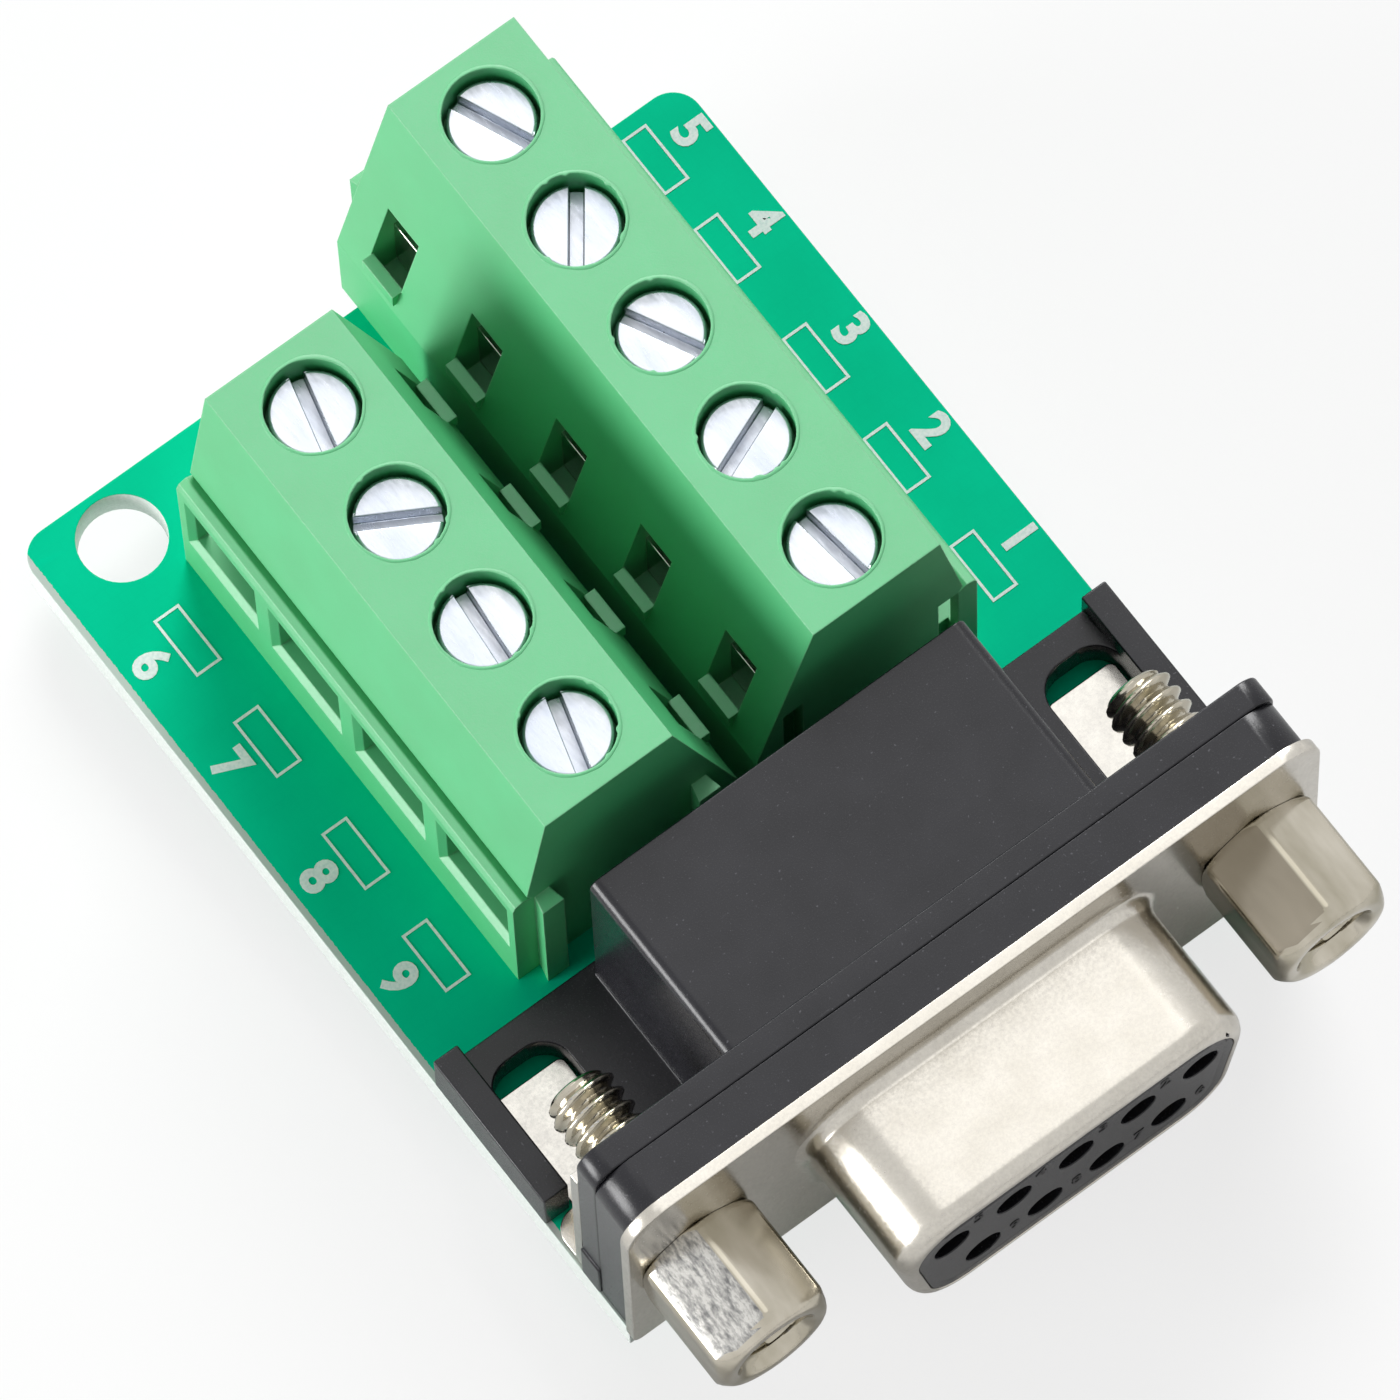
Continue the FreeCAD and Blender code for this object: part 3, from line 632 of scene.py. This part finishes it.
# A thin uneven ring of flash stands round each screw hole.
FLASH_POINTS = 72
chance = random.Random(11)
for number, x, y in screw_places():
    inner, outer = [], []
    push = 0
    for i in range(FLASH_POINTS):
        push = 0.8 * push + 0.2 * chance.uniform(-1, 1)
        nick = 0.07 if chance.random() < 0.05 else 0
        inner.append(HOLE_RADIUS - 0.05 * abs(push) - nick)
        outer.append(FLASH_RADIUS + 0.06 * push)
    crest = [(a + b) / 2 for a, b in zip(inner, outer)]
    rings = []
    for radii, height in ((inner, -0.12), (inner, 0.02), (crest, 0.035), (outer, 0.0), (outer, -0.02)):
        ring = []
        for i, r in enumerate(radii):
            a = 2 * math.pi * i / FLASH_POINTS
            ring.append(at(x + r * math.cos(a), y + r * math.sin(a), BLOCK_TOP + height))
        rings.append(ring)
    verts, faces = lofted(rings)
    add("hole_rim_%d" % number, verts, faces, paints["green_polyamide"])


# Solder

def turned(centre, profile, count=32):
    """Rings round an upright axis from (radius, height) pairs in mm."""
    rings = []
    for radius, height in profile:
        ring = []
        for i in range(count):
            a = 2 * math.pi * i / count
            ring.append(centre + Vector((radius * math.cos(a), radius * math.sin(a), height)) * MM)
        rings.append(ring)
    return rings


def pins_below(name):
    """The middles and half widths of a node's pins where they leave the board's underside, in metres."""
    level = (BOARD_LIFT - BOARD_THICK) * MM
    low = [v.co for v in nodes[name].data.vertices if v.co.z < level - 0.2 * MM]
    groups = []
    for point in low:
        for group in groups:
            if (Vector(point.xy) - group[0].xy).length < 1.6 * MM:
                group.append(point)
                break
        else:
            groups.append([point])
    for group in groups:
        xs = [p.x for p in group]
        ys = [p.y for p in group]
        middle = (min(xs) + max(xs)) / 2, (min(ys) + max(ys)) / 2
        half = (max(xs) - min(xs)) / 2, (max(ys) - min(ys)) / 2
        yield *middle, *half


# Every pin is soldered under the board: a fillet on a tinned pad, as (share of the pad's radius, height).
FILLET_TIP = 0.27
FILLET = [(1.0, 0.0), (0.97, -0.03), (0.72, -0.16), (0.50, -0.42), (0.36, -0.80), (0.30, -1.02),
          (FILLET_TIP, -1.06)]
for name in sorted(nodes):
    if not name.startswith(("contact_strip", "socket_contact", "grounding_bracket")):
        continue
    for index, (px, py, hx, hy) in enumerate(pins_below(name)):
        reach = math.hypot(hx, hy) / MM + 0.02
        wide = reach + (0.42 if name.startswith("socket") else 0.55)
        centre = Vector((px, py, (BOARD_LIFT - BOARD_THICK) * MM))
        profile = [(reach + (wide - reach) * (r - FILLET_TIP) / (1 - FILLET_TIP), h) for r, h in FILLET]
        verts, faces = lofted(turned(centre, profile), True)
        add("solder_%s_%d" % (name, index + 1), verts, faces, SOLDER)


# Printed and moulded marks

def letters(text, size, place_at, turn, name, paint, stroke=0.02, body="adapter"):
    curve = bpy.data.curves.new(name, "FONT")
    curve.body = text
    curve.size = size * MM
    curve.align_x = "CENTER"
    curve.align_y = "CENTER"
    curve.extrude = PRINT_THICK * MM / 2
    curve.offset = stroke * size * MM
    curve.resolution_u = 4
    written = bpy.data.objects.new(name + "_curve", curve)
    scene.collection.objects.link(written)
    bpy.context.view_layer.update()
    graph = bpy.context.evaluated_depsgraph_get()
    mesh = bpy.data.meshes.new_from_object(written.evaluated_get(graph))
    bpy.data.objects.remove(written)
    mesh.transform(Matrix.Translation(place_at) @ turn)
    mesh.name = name
    piece = bpy.data.objects.new(name, mesh)
    scene.collection.objects.link(piece)
    mesh.materials.clear()
    mesh.materials.append(paint)
    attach(piece, body)


# The poles are numbered in white on the board, read along its length.
TURNED = Matrix.Rotation(math.radians(-90), 4, "Z")
numbers = [(6, -13.9, 31.5), (7, -13.9, 26.6), (8, -13.9, 21.2), (9, -13.9, 16.3)]
numbers += [(1, 14.25, 16.25), (2, 14.25, 21.5), (3, 14.25, 26.4), (4, 14.25, 31.8), (5, 14.25, 36.2)]
for number, x, y in numbers:
    letters(str(number), DIGIT_SIZE, at(x, y, 0.012), TURNED, "silk_%d" % number, SILK,
            DIGIT_STROKE)


def frame_mark(name, x, y):
    """A printed box for the user's own note, where a pole's name would be."""
    verts, faces = [], []
    for inset in (0, NOTE_LINE):
        for sx, sy in ((-1, -1), (1, -1), (1, 1), (-1, 1)):
            verts.append(at(x + sx * (NOTE_TALL / 2 - inset), y + sy * (NOTE_WIDE / 2 - inset), PRINT_THICK))
    for i in range(4):
        j = (i + 1) % 4
        faces.append((i, j, 4 + j, 4 + i))
    add(name, verts, faces, SILK, smooth=False)


for number, x, y in numbers:
    side = 1 if x > 0 else -1
    frame_mark("note_box_%d" % number, x - side * 1.66, y - 0.1)

# The sockets are numbered on the moulding's face. The digits stand a little proud and are coloured darker
# than the face: painted shade for the shadow inside engraved digits.
UPRIGHT = Matrix.Rotation(math.radians(90), 4, "X")
for number in range(1, 10):
    if number <= 5:
        x = (3 - number) * CONTACT_PITCH + 1.19
        z = AXIS_Z + ROW_SPACING / 2 + 0.97
    else:
        x = (7.5 - number) * CONTACT_PITCH + 1.4
        z = AXIS_Z - ROW_SPACING / 2
    letters(str(number), MOULDED_SIZE, at(x, FACE_Y - 0.012, z), UPRIGHT, "moulded_%d" % number, ENGRAVING_SHADE)

# Floor, world and lamps. The floor and the world give the camera most of their white by themselves, so the
# lamps stay low.
bpy.ops.mesh.primitive_plane_add(size=8, location=(0, 0, -0.00003))
floor = bpy.context.object
floor.name = "floor"
paper, graph, shader = tree("paper")
shader.inputs["Base Color"].default_value = (0.95, 0.95, 0.95, 1)
shader.inputs["Roughness"].default_value = 0.9
shader.inputs["Specular IOR Level"].default_value = 0.0
glow = node(graph, "ShaderNodeEmission", Strength=1.0)
path = node(graph, "ShaderNodeLightPath")
share = maths(graph, "MULTIPLY", path.outputs["Is Camera Ray"], 0.75)
both = node(graph, "ShaderNodeMixShader")
graph.links.new(share, both.inputs[0])
graph.links.new(shader.outputs[0], both.inputs[1])
graph.links.new(glow.outputs[0], both.inputs[2])
graph.links.new(both.outputs[0], graph.nodes["Material Output"].inputs[0])
floor.data.materials.append(paper)

world = bpy.data.worlds.new("studio")
scene.world = world
world.use_nodes = True
graph = world.node_tree
path = node(graph, "ShaderNodeLightPath")
seen = maths(graph, "MAXIMUM", path.outputs["Is Camera Ray"], path.outputs["Is Glossy Ray"])
seen = maths(graph, "MAXIMUM", seen, path.outputs["Is Transmission Ray"])
strength = maths(graph, "MULTIPLY_ADD", seen, 0.86, 0.14)
graph.links.new(strength, graph.nodes["Background"].inputs["Strength"])
graph.nodes["Background"].inputs["Color"].default_value = (1, 1, 1, 1)


def lamp(name, direction, distance, size, power):
    """A round lamp that looks at the part, with its distance and size in metres and its power in watts."""
    light = bpy.data.lights.new(name, "AREA")
    light.shape = "DISK"
    light.size = size
    light.energy = power
    holder = bpy.data.objects.new(name, light)
    scene.collection.objects.link(holder)
    way = Vector(direction).normalized()
    holder.location = way * distance
    holder.rotation_euler = way.to_track_quat("Z", "Y").to_euler()
    holder.visible_camera = False


lamp("rear", (0.62, 0.80, 0.78), 2.0, 1.1, 38)
lamp("left", (-0.94, 0.27, 0.20), 2.0, 1.2, 48)
lamp("over", (0.186, 0.275, 0.943), 2.0, 1.6, 4)

# The camera's place, turn and lens were fitted to the photo.
EYE_PLACE = (-0.112184, -0.165779, 0.577253)
EYE_TURN = ((0.799461, 0.571042, -0.186474), (-0.600479, 0.750923, -0.274843), (-0.01692, 0.3317, 0.943233))
camera = bpy.data.cameras.new("camera")
camera.lens = 429.99576
camera.sensor_width = 36
camera.sensor_fit = "HORIZONTAL"
camera.clip_start = 0.01
camera.clip_end = 50
eye = bpy.data.objects.new("camera", camera)
scene.collection.objects.link(eye)
eye.matrix_world = Matrix.Translation(EYE_PLACE) @ Matrix(EYE_TURN).to_4x4()
scene.camera = eye
scene.view_settings.view_transform = "Standard"

bpy.context.view_layer.update()
